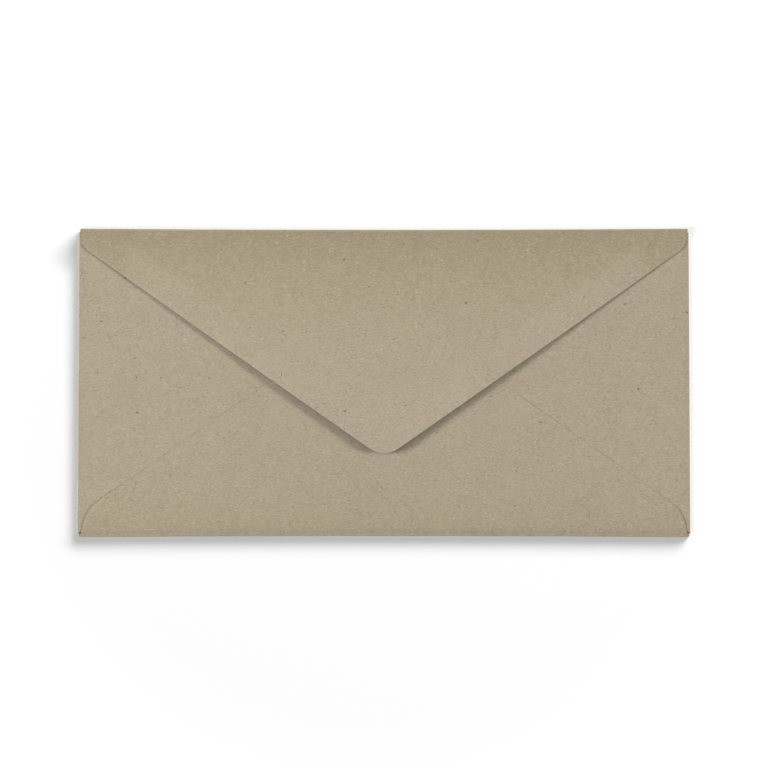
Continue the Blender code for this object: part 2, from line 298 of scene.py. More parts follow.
def new_object(name, data):
    """An object at the origin, in the scene."""
    piece = bpy.data.objects.new(name, data)
    bpy.context.scene.collection.objects.link(piece)
    return piece


def built_mesh(builder, name):
    """The mesh that a finished bmesh holds."""
    mesh = bpy.data.meshes.new(name)
    builder.to_mesh(mesh)
    builder.free()
    return mesh


def connect(tree, value, socket):
    """Links a socket, or a node's first output, to a socket, or sets the socket to a plain value."""
    if isinstance(value, bpy.types.Node):
        value = value.outputs[0]
    if isinstance(value, bpy.types.NodeSocket):
        tree.links.new(value, socket)
    else:
        socket.default_value = value


def add_node(tree, kind, *values, inputs=None, **settings):
    """Adds a node with its settings, and gives its inputs their values in order, or by name or number."""
    node = tree.nodes.new(kind)
    for name, value in settings.items():
        setattr(node, name, value)
    for key, value in {**dict(enumerate(values)), **(inputs or {})}.items():
        connect(tree, value, node.inputs[key])
    return node


# The flat sheet

def rounded_corner(before, corner, after, radius, step_degrees=4.0):
    """The points of an arc that rounds a corner."""
    to_before = before - corner
    to_after = after - corner
    turn = math.pi - to_before.angle(to_after)
    if radius <= 0 or turn < math.radians(step_degrees):
        return [corner]
    tangent = min(radius * math.tan(turn / 2), min(to_before.length, to_after.length) / 2)
    middle = (to_before.normalized() + to_after.normalized()).normalized()
    centre = corner + middle * tangent / math.sin(turn / 2)
    start = corner + to_before.normalized() * tangent - centre
    end = corner + to_after.normalized() * tangent - centre
    sweep = start.angle_signed(end)
    steps = max(2, round(turn / math.radians(step_degrees)))
    points = []
    for step in range(steps + 1):
        angle = -sweep * step / steps
        cosine, sine = math.cos(angle), math.sin(angle)
        points.append(centre + Vector((start.x * cosine - start.y * sine, start.x * sine + start.y * cosine)))
    return points


def rounded_outline(corners):
    """The closed outline through (x, y, radius) corners."""
    spots = [Vector((x, y)) for x, y, radius in corners]
    points = []
    for index, (x, y, radius) in enumerate(corners):
        points += rounded_corner(spots[index - 1], spots[index], spots[(index + 1) % len(spots)], radius)
    return points


class PointedFlap:
    """The cut shape of a pointed flap, across it and away from the envelope's edge, as when it is folded."""

    def __init__(self, point, edge_start, tip_radius, shoulder_radius, fold_half_width, side_lean):
        self.point = point
        self.slope = (point - edge_start) / HALF_LENGTH
        self.tip_radius = tip_radius
        self.shoulder_radius = shoulder_radius
        self.fold_half_width = fold_half_width
        self.lean = math.tan(side_lean)

    def half_width(self, away):
        """Half of the width across the flap between its fold and its shoulders."""
        return self.fold_half_width - self.lean * away

    def edge(self, across):
        """How far from the envelope's edge the slanting cut edge is, this far from the centre line."""
        return self.point - self.slope * across

    def inward(self, distance):
        """How much nearer the fold a line lies that runs this far inside the slanting edge."""
        return distance * math.hypot(1, self.slope)

    def outline(self, root_away, root_y, flat_y):
        """Its outline on the flat sheet, from its root line round the shoulders and the tip.

        root_away is how far the root line is from the envelope's edge, root_y is its flat y, and flat_y turns
        any other distance from the envelope's edge into the flat sheet's y.
        """
        shoulder = self.edge(self.fold_half_width) / (1 - self.slope * self.lean)
        root_x = self.half_width(root_away)
        shoulder_x = self.half_width(shoulder)
        return rounded_outline([
            (-root_x, root_y, 0),
            (-shoulder_x, flat_y(shoulder), self.shoulder_radius),
            (0, flat_y(self.point), self.tip_radius),
            (shoulder_x, flat_y(shoulder), self.shoulder_radius),
            (root_x, root_y, 0),
        ])


class Bend:
    """A bend of the flat sheet: it starts at a distance along a direction and turns the sheet by an angle."""

    parts = ("start", "radius", "angle")

    def __init__(self, name, direction, start, radius, angle):
        self.name = name
        self.fixed = {"Direction": direction}
        self.start = start
        self.radius = radius
        self.angle = angle

    def group(self):
        """The node group that makes it."""
        return moving_group("Bend sheet", (*self.fixed, *self.parts), bend_offset)

    @property
    def length(self):
        """The length of sheet that the bend takes up."""
        return self.radius * self.angle

    def lines(self, count):
        """Places along the direction where the flat sheet is divided for this bend."""
        return [self.start + self.length * step / count for step in range(count + 1)]


class CornerDrop:
    """The seal flap's outer parts, which lie closer to the pocket than its middle does."""

    name = "Corner drop"
    fixed = {}
    parts = ("height", "inner", "outer", "start", "end")

    def __init__(self, crease):
        fold = bpy.context.scene.envelope_fold
        self.height = fold.corner_drop
        self.inner = fold.corner_drop_inner
        self.outer = fold.corner_drop_outer
        self.start = crease.start + crease.length
        self.end = self.start + fold.corner_drop_length

    def group(self):
        """The node group that makes it."""
        return moving_group("Drop corners", self.parts, drop_offset)


def fold_bends(name, direction, crease, radius, slope, straight, rise):
    """A fold as two bends: a tight one that leaves the sheet at a slope, and a wide one that levels it.

    crease is where the sheet starts to bend, and rise is the height of the folded layer's middle over the
    front's.
    """
    tight = Bend(f"{name} fold", direction, crease, radius, math.pi - slope)
    still_to_rise = rise - radius * (1 + math.cos(slope)) - straight * math.sin(slope)
    wide_radius = still_to_rise / (1 - math.cos(slope))
    wide = Bend(f"{name} levelling", direction, crease + tight.length + straight, wide_radius, slope)
    return tight, wide


def folded_reach(tight, wide):
    """How much further out than where it lies when folded a point of the flat sheet is, past both bends."""
    slope = wide.angle
    straight = wide.start - tight.start - tight.length
    inward = -tight.radius * math.sin(slope) + straight * math.cos(slope) + wide.radius * math.sin(slope)
    used = tight.length + straight + wide.length
    return used - inward


def cut_blank(name, outlines, x_lines, y_lines):
    """A flat mesh of the outlines, divided along lines in x and in y."""
    builder = bmesh.new()
    for outline in outlines:
        builder.faces.new([builder.verts.new((x, y, 0)) for x, y in outline])
    for axis, lines in enumerate((x_lines, y_lines)):
        normal = Vector((axis == 0, axis == 1, 0))
        for position in lines:
            geometry = builder.verts[:] + builder.edges[:] + builder.faces[:]
            bmesh.ops.bisect_plane(
                builder, geom=geometry, dist=1e-8, plane_co=normal * position, plane_no=normal
            )
    bmesh.ops.remove_doubles(builder, verts=builder.verts, dist=SAME_PLACE)
    bmesh.ops.recalc_face_normals(builder, faces=builder.faces)
    for face in builder.faces:
        if face.normal.z > 0:
            face.normal_flip()
    return new_object(name, built_mesh(builder, name))


def mirrored_lines(half_lines):
    """The same places on both sides of the centre line, in order."""
    return sorted({-value for value in half_lines} | set(half_lines))


def spaced_lines(low, high, spacing):
    """Evenly spaced places from low to high, both ends included."""
    count = max(1, math.ceil((high - low) / spacing))
    return [low + (high - low) * step / count for step in range(count + 1)]


def flat_points(mesh):
    """The mesh's vertices as rows of x, y and z."""
    points = np.empty(len(mesh.vertices) * 3)
    mesh.vertices.foreach_get("co", points)
    return points.reshape(-1, 3)


def distance_to_path(points, path):
    """Each point's distance in the plane to a path of straight pieces."""
    nearest = np.full(len(points), np.inf)
    for start, end in zip(path, path[1:]):
        start = np.array(start)
        run = np.array(end) - start
        share = np.clip((points[:, :2] - start) @ run / (run @ run), 0, 1)
        gap = points[:, :2] - start - share[:, None] * run
        nearest = np.minimum(nearest, np.hypot(gap[:, 0], gap[:, 1]))
    return nearest


def smooth_step(value, low, high):
    """0 below low, 1 above high, and a soft step between them."""
    share = np.clip((value - low) / (high - low), 0, 1)
    return share * share * (3 - 2 * share)


def store(mesh, name, values):
    """Keeps one number for each vertex as a named attribute."""
    attribute = mesh.attributes.new(name, "FLOAT", "POINT")
    attribute.data.foreach_set("value", values.astype(np.float32))


# The trees that fold and settle the sheet

def tree_inputs(tree, names):
    """Gives a tree its geometry input and output, and its named inputs, as in SOCKET_KINDS or numbers."""
    tree.interface.new_socket("Geometry", in_out="INPUT", socket_type="NodeSocketGeometry")
    tree.interface.new_socket("Geometry", in_out="OUTPUT", socket_type="NodeSocketGeometry")
    for name in names:
        kind = SOCKET_KINDS.get(name, "NodeSocketFloat")
        tree.interface.new_socket(name, in_out="INPUT", socket_type=kind)
    return tree.nodes.new("NodeGroupInput"), tree.nodes.new("NodeGroupOutput")


def moving_group(name, names, offset_of):
    """A node group with named inputs, made once, that moves each point as offset_of says."""
    tree = bpy.data.node_groups.get(name)
    if tree:
        return tree
    tree = bpy.data.node_groups.new(name, "GeometryNodeTree")
    source, target = tree_inputs(tree, names)
    add = partial(add_node, tree)
    offset = offset_of(add, source.outputs, add("GeometryNodeInputPosition"))
    moved = add("GeometryNodeSetPosition", inputs={"Geometry": source, "Offset": offset})
    connect(tree, moved, target.inputs["Geometry"])
    return tree


def bend_offset(add, given, place):
    """Bends a flat sheet beyond a line round a radius, and lays the rest on straight."""
    direction, start, radius, angle = (given[name] for name in ("Direction", "start", "radius", "angle"))
    along = add(VECTOR, place, direction, operation="DOT_PRODUCT").outputs["Value"]
    height = add("ShaderNodeSeparateXYZ", place).outputs["Z"]
    past = add(MATH, add(MATH, along, start, operation="SUBTRACT"), 0.0, operation="MAXIMUM")
    curved = add(MATH, past, add(MATH, radius, angle, operation="MULTIPLY"), operation="MINIMUM")
    turned = add(MATH, curved, radius, operation="DIVIDE")
    rest = add(MATH, past, curved, operation="SUBTRACT")
    sine = add(MATH, turned, operation="SINE")
    cosine = add(MATH, turned, operation="COSINE")
    arm = add(MATH, radius, height, operation="SUBTRACT")
    reach = add(MATH, arm, sine, add(MATH, rest, cosine, operation="MULTIPLY"), operation="MULTIPLY_ADD")
    shift = add(MATH, reach, past, operation="SUBTRACT")
    climb = add(MATH, rest, sine, arm, operation="MULTIPLY_ADD")
    climb = add(MATH, climb, add(MATH, arm, cosine, operation="MULTIPLY"), operation="SUBTRACT")
    sideways = add(VECTOR, direction, inputs={"Scale": shift}, operation="SCALE")
    return add(VECTOR, sideways, add("ShaderNodeCombineXYZ", inputs={"Z": climb}), operation="ADD")


def drop_offset(add, given, place):
    """Raises the outer parts of the flat seal flap, which its fold then turns over and lowers."""
    x, y = add("ShaderNodeSeparateXYZ", place).outputs[:2]
    outward = add(RAMP, add(MATH, x, operation="ABSOLUTE"), given["inner"], given["outer"], **SOFT)
    down = add(RAMP, y, given["start"], given["end"], **SOFT)
    climb = add(MATH, add(MATH, outward, down, operation="MULTIPLY"), given["height"], operation="MULTIPLY")
    return add("ShaderNodeCombineXYZ", inputs={"Z": climb})


def settle_offset(add, given, place):
    """Lets the folded sheet settle: spread long edges, a slight swell, and slow cockles."""
    x, y, z = add("ShaderNodeSeparateXYZ", place).outputs
    across = add(MATH, x, given["Half length"], operation="DIVIDE")
    up = add(MATH, y, given["Half height"], operation="DIVIDE")
    across_square = add(MATH, across, across, operation="MULTIPLY")
    up_square = add(MATH, up, up, operation="MULTIPLY", use_clamp=True)
    more = add(MATH, given["End spread"], given["Middle spread"], operation="SUBTRACT")
    bow = add(MATH, more, across_square, given["Middle spread"], operation="MULTIPLY_ADD")
    bow = add(MATH, bow, up, operation="MULTIPLY")

    open_air = add(MATH, z, SETTLED_LEVEL, operation="DIVIDE", use_clamp=True)
    inner = [add(MATH, 1.0, square, operation="SUBTRACT") for square in (across_square, up_square)]
    swell = add(MATH, add(MATH, *inner, operation="MULTIPLY"), given["Bulge"], operation="MULTIPLY")
    waves = add(
        NOISE, inputs={
            "Vector": add("ShaderNodeCombineXYZ", x, y),
            "Scale": add(MATH, 1.0, given["Cockle size"], operation="DIVIDE"),
            "Detail": 1.0,
        },
    )
    wave = add(MATH, add(MATH, waves, 0.5, operation="SUBTRACT"), 2.0, operation="MULTIPLY")
    wave = add(MATH, wave, given["Cockle height"], swell, operation="MULTIPLY_ADD")
    climb = add(MATH, wave, open_air, given["Lift"], operation="MULTIPLY_ADD")
    return add("ShaderNodeCombineXYZ", inputs={"Y": bow, "Z": climb})


def settling():
    """The inputs of the settling group, and their values."""
    fold = bpy.context.scene.envelope_fold
    return {
        "Half length": HALF_LENGTH,
        "Half height": HALF_HEIGHT,
        "Lift": THICKNESS / 2,
        "Middle spread": fold.middle_spread,
        "End spread": fold.end_spread,
        "Bulge": fold.bulge,
        "Cockle height": fold.cockle_height,
        "Cockle size": fold.cockle_size,
    }


def finish_tree(tree, shape, material, target):
    """Ends a tree with plain geometry in its material."""
    shape = add_node(tree, "GeometryNodeRealizeInstances", shape)
    shape = add_node(tree, "GeometryNodeSetMaterial", inputs={"Geometry": shape, "Material": material})
    connect(tree, shape, target.inputs["Geometry"])


def fold_tree(name, steps, material, prepare=None):
    """A tree that folds a flat piece in steps, settles it and gives it its material.

    The far bends come first, because each bend expects what lies before it to be flat still. prepare may add
    nodes in front of them. Returns the tree and its inputs' values by name.
    """
    tree = bpy.data.node_groups.new(name, "GeometryNodeTree")
    add = partial(add_node, tree)
    values = {f"{step.name} {part}": getattr(step, part) for step in steps for part in step.parts}
    values.update(settling())
    source, target = tree_inputs(tree, values)
    shape = source.outputs["Geometry"]
    if prepare:
        shape = prepare(add, shape)
    for step in steps:
        named = {part: source.outputs[f"{step.name} {part}"] for part in step.parts}
        inputs = {"Geometry": shape, **step.fixed, **named}
        shape = add("GeometryNodeGroup", inputs=inputs, node_tree=step.group())
    settled = moving_group("Settle sheet", settling(), settle_offset)
    inputs = {"Geometry": shape} | {key: source.outputs[key] for key in settling()}
    shape = add("GeometryNodeGroup", inputs=inputs, node_tree=settled)
    finish_tree(tree, shape, material, target)
    return tree, values


def run_tree(piece, tree, values):
    """Puts a tree on an object, with its inputs set by their identifiers."""
    modifier = piece.modifiers.new(tree.name, "NODES")
    modifier.node_group = tree
    for item in tree.interface.items_tree:
        if item.in_out == "INPUT" and item.name in values:
            modifier[item.identifier] = values[item.name]


def make_plain(piece):
    """Turns what the modifiers make of an object into its own plain mesh."""
    graph = bpy.context.evaluated_depsgraph_get()
    graph.update()
    mesh = bpy.data.meshes.new_from_object(piece.evaluated_get(graph))
    piece.modifiers.clear()
    old = piece.data
    if piece.type == "MESH":
        piece.data = mesh
    else:
        name = piece.name
        bpy.data.objects.remove(piece)
        piece = new_object(name, mesh)
    mesh.name = piece.name
    if old.users == 0:
        bpy.data.batch_remove([old])
    mesh.shade_smooth()
    mesh.set_sharp_from_angle(angle=SHARP_ANGLE)
    return piece


def give_thickness(piece, cut_distance):
    """Gives a folded sheet its thickness, less at a cut edge, which takes the sheet's second material."""
    group = piece.vertex_groups.new(name="full_thickness")
    group.add(np.flatnonzero(cut_distance > SAME_PLACE).tolist(), 1.0, "REPLACE")
    solid = piece.modifiers.new("Thickness", "SOLIDIFY")
    solid.vertex_group = group.name
    solid.thickness_vertex_group = bpy.context.scene.envelope_fold.crushed_edge
    solid.thickness = THICKNESS
    solid.offset = 0.0
    solid.use_even_offset = True
    solid.use_rim = True
    solid.material_offset_rim = 1


# Materials

def millimetres(add):
    """Object coordinates in millimetres, in which the patterns have their real sizes."""
    coordinates = add("ShaderNodeTexCoord").outputs["Object"]
    return add(VECTOR, coordinates, inputs={"Scale": 1 / MM}, operation="SCALE")


def new_material(name, roughness, ior, specular):
    """A material with its shader's constants set, its shader, and what adds a node to it."""
    material = bpy.data.materials.new(name)
    material.use_nodes = True
    shader = material.node_tree.nodes["Principled BSDF"]
    shader.inputs["Roughness"].default_value = roughness
    shader.inputs["IOR"].default_value = ior
    shader.inputs["Specular IOR Level"].default_value = specular
    return material, shader, partial(add_node, material.node_tree)


def dress(material, shader, colour, relief=None, strength=0.0, depth=0.0, roughness=None):
    """Gives a material's shader its colour and, where it has them, its bumps and its roughness."""
    tree = material.node_tree
    connect(tree, colour, shader.inputs["Base Color"])
    if relief:
        inputs = {"Height": relief, "Strength": strength, "Distance": depth}
        connect(tree, add_node(tree, "ShaderNodeBump", inputs=inputs), shader.inputs["Normal"])
    if roughness:
        connect(tree, roughness, shader.inputs["Roughness"])


def fibre_streaks(add, place, turn_degrees, length_mm, width_mm):
    """Noise drawn out into streaks that run in one direction of the sheet."""
    turned = add(
        "ShaderNodeMapping", inputs={
            "Vector": place,
            "Rotation": (0.0, 0.0, math.radians(turn_degrees)),
            "Scale": (1 / length_mm, 1 / width_mm, 1 / width_mm),
        },
    )
    return add(NOISE, inputs={"Vector": turned, "Scale": 1.0, "Detail": 1.0})


def specks(add, place, spacing_mm, radius_mm, share):
    """Scattered specks: one to a cell, of which only a share is kept, each of its own size."""
    cells = add("ShaderNodeTexVoronoi", inputs={"Vector": place, "Scale": 1 / spacing_mm, "Randomness": 1.0})
    chance = add("ShaderNodeSeparateColor", cells.outputs["Color"])
    size = add(RAMP, chance, 1 - share, 1.0, 0.0, radius_mm / spacing_mm, **SOFT)
    gap = add(MATH, size, cells.outputs["Distance"], operation="SUBTRACT")
    return add(RAMP, gap, -0.01, 0.02, **SOFT)


def kraft_paper(name, colour, shade_amount, shade_reach, press, painted_fold_light, band_share, edge_colour, edge_share):
    """Recycled kraft paper: machine-made, uncoated and matt, of brown fibres, bleached ones and printed ones.

    To the eye it is a grey-brown with soft clouds where the pulp lay thicker, fine streaks of fibre, and a
    few dark shives and pale flecks. Painted shade darkens it by shade_amount at its fold and fades over
    shade_reach, with a darker strip of painted shade in the last few millimetres at the fold and a paler line
    of painted light on the fold itself. band_share lightens the painted shade on the strip that is backed by
    gum. The last half millimetre along the cut has edge_share of edge_colour: on the pocket partly glue and
    partly painted shadow of the seam's step, on the seal flap partly torn fibres and partly painted
    highlight.
    """
    paper = bpy.context.scene.envelope_paper
    glue = bpy.context.scene.envelope_glue
    material, shader, add = new_material(name, roughness=0.88, ior=1.5, specular=0.35)
    place = millimetres(add)

    # The places wander by about a millimetre for streaks and specks, so that none is straight or round
    wander = add(NOISE, inputs={"Vector": place, "Scale": 1 / 1.6, "Detail": 1.0}).outputs["Color"]
    bent_place = add(VECTOR, wander, (1.4, 1.4, 1.4), place, operation="MULTIPLY_ADD")

    # Each pattern's size in millimetres, its detail and its roughness
    patterns = ((3.0, 3.0, 0.62), (17.0, 1.0, 0.5), (0.62, 3.0, 0.75), (6.0, 1.0, 0.5))
    clouds, slow_clouds, grain, patches = (
        add(NOISE, inputs={"Vector": place, "Scale": 1 / size_mm, "Detail": detail, "Roughness": roughness})
        for size_mm, detail, roughness in patterns
    )

    # The tone is 1 on average, and changes with each pattern by its contrast
    tone = 1.0
    for pattern, contrast in ((clouds, 0.20), (slow_clouds, 0.08), (grain, 0.52)):
        change = add(MATH, pattern, contrast, -contrast / 2, operation="MULTIPLY_ADD")
        tone = add(MATH, tone, change, operation="ADD")

    # Fibres run three ways, and the streaks' high and low ends are the pale and the dark ones
    pale = dark = 0.0
    for turn_degrees, length_mm, width_mm in ((12.0, 1.7, 0.27), (74.0, 2.1, 0.30), (131.0, 1.5, 0.26)):
        streaks = fibre_streaks(add, bent_place, turn_degrees, length_mm, width_mm)
        pale = add(MATH, pale, add(RAMP, streaks, 0.62, 0.70, **SOFT), operation="MAXIMUM")
        dark = add(MATH, dark, add(RAMP, streaks, 0.37, 0.29, **SOFT), operation="MAXIMUM")

    # Painted shade at the fold, fading away from it, with less of it where gum backs the paper
    from_cut, from_fold, from_side, gum_backing = (
        add("ShaderNodeAttribute", attribute_name=attribute).outputs["Fac"]
        for attribute in ("cut_distance", "fold_distance", "side_distance", "gum_backing")
    )
    fading = add(MATH, add(MATH, from_fold, -shade_reach, operation="DIVIDE"), operation="EXPONENT")
    shade = add(MATH, fading, shade_amount, operation="MULTIPLY", use_clamp=True)
    gum_edge = glue.gum_inset + glue.gum_width
    band = add(RAMP, from_cut, gum_edge + 2 * MM, gum_edge - 2 * MM, **SOFT)
    band = add(MATH, band, gum_backing, operation="MULTIPLY")
    kept = add(MATH, band, -band_share, 1.0, operation="MULTIPLY_ADD")
    shade = add(MATH, shade, kept, operation="MULTIPLY")

    # Strips along a fold or side, from where they start to where they are full, and what they do to the tone
    strips = (
        # Painted shade: a darker strip in the last few millimetres at the fold
        (from_fold, 3.1, 2.5, 1.0 - press),
        # Painted shade: a narrow and a wider darker strip along the side folds
        (from_side, 1.3, 0.6, 0.90),
        (from_side, 5.0, 0.5, 0.955),
        # Painted light: a paler line right at the fold that lifts its shaded face
        (from_fold, 1.6, 1.0, 1.0 + painted_fold_light),
    )
    for distance, start_mm, full_mm, factor in strips:
        strip = add(RAMP, distance, start_mm * MM, full_mm * MM, 1.0, factor, **SOFT)
        tone = add(MATH, tone, strip, operation="MULTIPLY")

    tint = add(MIX, inputs={0: shade, 6: colour, 7: paper.shade}, **COLOURS).outputs[2]
    tint = add(VECTOR, tint, inputs={"Scale": tone}, operation="SCALE")

    # Fibres and specks lie over the paper's own colour, each with its cover and how strongly it shows
    layers = (
        (pale, 0.30, paper.light_fibre),
        (dark, 0.25, paper.dark_fibre),
        (specks(add, bent_place, spacing_mm=4.4, radius_mm=0.46, share=0.45), 0.75, paper.dark_fibre),
        (specks(add, bent_place, spacing_mm=3.1, radius_mm=0.36, share=0.40), 0.50, paper.light_fibre),
    )
    for cover, strength, fibre_colour in layers:
        cover = add(MATH, cover, strength, operation="MULTIPLY")
        tint = add(MIX, inputs={0: cover, 6: tint, 7: fibre_colour}, **COLOURS).outputs[2]
    # The line along the cut: on the pocket partly glue and partly painted shadow of the seam's step, on the
    # seal flap partly torn fibres and partly painted highlight
    patchy = add(RAMP, patches, 0.40, 0.60, 0.3 * edge_share, edge_share, **SOFT)
    edge_marks_and_painted_light = add(RAMP, from_cut, 0.5 * MM, 0.05 * MM, 0.0, patchy, **SOFT)
    tint = add(MIX, inputs={0: edge_marks_and_painted_light, 6: tint, 7: edge_colour}, **COLOURS).outputs[2]

    relief = add(MATH, pale, 0.5, add(MATH, grain, 0.8, operation="MULTIPLY"), operation="MULTIPLY_ADD")
    relief = add(MATH, clouds, 0.9, relief, operation="MULTIPLY_ADD")
    rough = add(RAMP, grain, 0.3, 0.7, 0.84, 0.92, **SOFT)
    dress(material, shader, tint, relief, strength=0.7, depth=0.05 * MM, roughness=rough)
    return material


def cut_edge(name, colour):
    """The edge of die-cut paper: crushed and torn fibre ends, drier and more matt than the faces.

    A clean edge is paler than the sheet, and one that has taken up glue is darker, partly as painted shadow
    of the seam's step.
    """
    material, shader, add = new_material(name, roughness=0.95, ior=1.5, specular=0.2)
    ends = add(NOISE, inputs={"Vector": millimetres(add), "Scale": 1 / 0.12, "Detail": 2.0})
    tone = add(MATH, ends, 0.4, 0.8, operation="MULTIPLY_ADD")
    tint = add(VECTOR, colour[:3], inputs={"Scale": tone}, operation="SCALE")
    dress(material, shader, tint, ends, strength=0.5, depth=0.03 * MM)
    return material


def dried_film(name, colour, roughness, streak_mm):
    """A film of water-based glue, dried on paper: glossy where it lies thick, and streaked by its roller."""
    material, shader, add = new_material(name, roughness=roughness, ior=1.48, specular=0.5)
    place = millimetres(add)
    streaks = fibre_streaks(add, place, 35.0, 9.0, streak_mm)
    pores = add(NOISE, inputs={"Vector": place, "Scale": 1 / 0.5, "Detail": 2.0})
    tone = add(MATH, pores, 0.14, 0.81, operation="MULTIPLY_ADD")
    tone = add(MATH, streaks, 0.24, tone, operation="MULTIPLY_ADD")
    tint = add(VECTOR, colour[:3], inputs={"Scale": tone}, operation="SCALE")
    relief = add(MATH, streaks, pores, operation="ADD")
    wear = add(MATH, pores, 0.3, roughness - 0.15, operation="MULTIPLY_ADD")
    dress(material, shader, tint, relief, strength=0.5, depth=0.02 * MM, roughness=wear)
    return material


def loose_fibre():
    """Single cellulose fibres and shives on the sheet, from nearly white to dark brown."""
    paper = bpy.context.scene.envelope_paper
    material, shader, add = new_material("loose_cellulose_fibre", roughness=0.8, ior=1.53, specular=0.3)
    tone = add("ShaderNodeAttribute", attribute_name="fibre_tone").outputs["Fac"]
    share = add(RAMP, tone, 0.0, 0.9, **SOFT)
    tint = add(MIX, inputs={0: share, 6: paper.dark_fibre, 7: paper.light_fibre}, **COLOURS).outputs[2]
    along = add(NOISE, inputs={"Vector": millimetres(add), "Scale": 1 / 0.4, "Detail": 1.0})
    along = add(MATH, along, 0.4, 0.8, operation="MULTIPLY_ADD")
    dress(material, shader, add(VECTOR, tint, inputs={"Scale": along}, operation="SCALE"))
    return material


def paper_materials():
    """The pocket's paper and its glued edge, dark partly as painted shadow, and the seal flap's paper and its
    clean edge.
    """
    paper = bpy.context.scene.envelope_paper
    pocket = kraft_paper(
        "recycled_kraft_pocket", paper.kraft, shade_amount=0.44, shade_reach=11 * MM, press=0.045, painted_fold_light=0.10,
        band_share=0.0, edge_colour=paper.glued_and_shaded_edge, edge_share=0.56,
    )
    # The seal flap's paper is a lighter copy of the pocket's: painted light, with stronger painted shade at
    # its crease
    flap = kraft_paper(
        "recycled_kraft_flap", paper.flap_kraft_painted_lighter, shade_amount=0.90, shade_reach=22 * MM, press=0.0, painted_fold_light=0.0,
        band_share=0.55, edge_colour=paper.cut_edge, edge_share=0.30,
    )
    return {
        "pocket": (pocket, cut_edge("glued_and_shaded_paper_edge", paper.glued_and_shaded_edge)),
        "flap": (flap, cut_edge("die_cut_paper_edge", paper.cut_edge)),
    }


# The pieces

def seal_cut():
    """The seal flap's cut shape."""
    cut = bpy.context.scene.envelope_cut
    return PointedFlap(
        cut.seal_point, cut.seal_edge_start, cut.seal_tip_radius, cut.seal_shoulder_radius,
        HALF_LENGTH - cut.seal_side_inset, cut.seal_side_lean,
    )


def side_crease_place():
    """How far from the centre line the sheet starts to bend at the side folds."""
    return HALF_LENGTH - THICKNESS / 2 - bpy.context.scene.envelope_fold.side_radius


def bottom_cut():
    """The bottom flap's cut shape, which is as wide at its fold as the front is between the side folds."""
    cut = bpy.context.scene.envelope_cut
    return PointedFlap(
        cut.bottom_point, cut.bottom_edge_start, cut.bottom_tip_radius, cut.bottom_shoulder_radius,
        side_crease_place(), cut.bottom_side_lean,
    )


def pocket_folds():
    """The side folds and the bottom fold, each as a tight and a wide bend."""
    fold = bpy.context.scene.envelope_fold
    side = (side_crease_place(), fold.side_radius, fold.side_slope, fold.straight_rise, SIDE_LEVEL)
    left = fold_bends("Left", (-1.0, 0.0, 0.0), *side)
    right = fold_bends("Right", (1.0, 0.0, 0.0), *side)
    bottom_crease = HALF_HEIGHT - THICKNESS / 2 - fold.bottom_radius
    bottom = fold_bends(
        "Bottom", (0.0, -1.0, 0.0), bottom_crease, fold.bottom_radius, fold.bottom_slope,
        fold.straight_rise, BOTTOM_LEVEL,
    )
    return left, right, bottom


def flap_flat_start(crease):
    """Where the envelope's top edge would lie on the flat seal flap, whose crease takes up some sheet."""
    return crease.start + crease.length - (HALF_HEIGHT - TOP_CREASE_Y)


def seal_steps():
    """How the seal flap is shaped: its corners' drop, two gentle curves, farthest first, and its crease."""
    fold = bpy.context.scene.envelope_fold
    up = (0.0, 1.0, 0.0)
    crease = Bend("Top crease", up, TOP_CREASE_Y, TOP_CREASE_RADIUS, math.pi - fold.flap_start_slope)
    lift_start = flap_flat_start(crease) + fold.flap_lift_start
    lift = Bend("Lift", up, lift_start, -fold.flap_lift_length / fold.flap_lift, -fold.flap_lift)
    droop_start = flap_flat_start(crease) + fold.flap_droop_start
    droop = Bend("Droop", up, droop_start, fold.flap_droop_length / fold.flap_droop, fold.flap_droop)
    return CornerDrop(crease), droop, lift, crease


def side_flap_corners(root_x, flat_x):
    """(x, y, radius) corners of the right side flap on the flat sheet, from its fold out.

    flat_x turns a distance from the envelope's side, as it lies folded, into the flat sheet's x.
    """
    cut = bpy.context.scene.envelope_cut
    top = TOP_CREASE_Y - cut.side_top_relief
    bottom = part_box("bottom_fold")[1].y + cut.side_corner_relief
    end_top = top - cut.side_depth * math.tan(cut.side_upper_taper)
    end_bottom = bottom + (cut.side_depth - cut.side_end_lean) * math.tan(cut.side_lower_taper)
    return [
        (root_x, bottom, 0),
        (flat_x(cut.side_depth - cut.side_end_lean), end_bottom, cut.side_end_radius),
        (flat_x(cut.side_depth), end_top, cut.side_end_radius),
        (root_x, top, 0),
    ]


def seam_press(points, cut_distance, bottom_flat):
    """How far each point of the flat bottom flap is moved towards the side flaps, once it is folded.

    Its glued edges are pressed down and its outer corners, which have no glue, stand off. The cut edge is
    crushed, so it is moved by half of what the die takes off, to keep the edge's inner face in line.
    """
    fold = bpy.context.scene.envelope_fold
    from_fold = -points[:, 1] - bottom_flat
    glued = (1 - smooth_step(cut_distance, *PRESSED_STRIP)) * smooth_step(from_fold, -FOLD_FADE, FOLD_FADE)
    press = glued * (BOTTOM_LEVEL - SIDE_LEVEL - THICKNESS - fold.seam_gap)
    loose_length = np.where(points[:, 0] < 0, fold.left_loose_length, fold.right_loose_length)
    from_side = HALF_LENGTH - np.abs(points[:, 0])
    loose = smooth_step(loose_length - from_side, 0.0, loose_length * LOOSE_FADE) * (from_fold > 0)
    press -= fold.loose_corner * loose
    return press + np.where(cut_distance < SAME_PLACE, (1 - fold.crushed_edge) * THICKNESS / 2, 0.0)


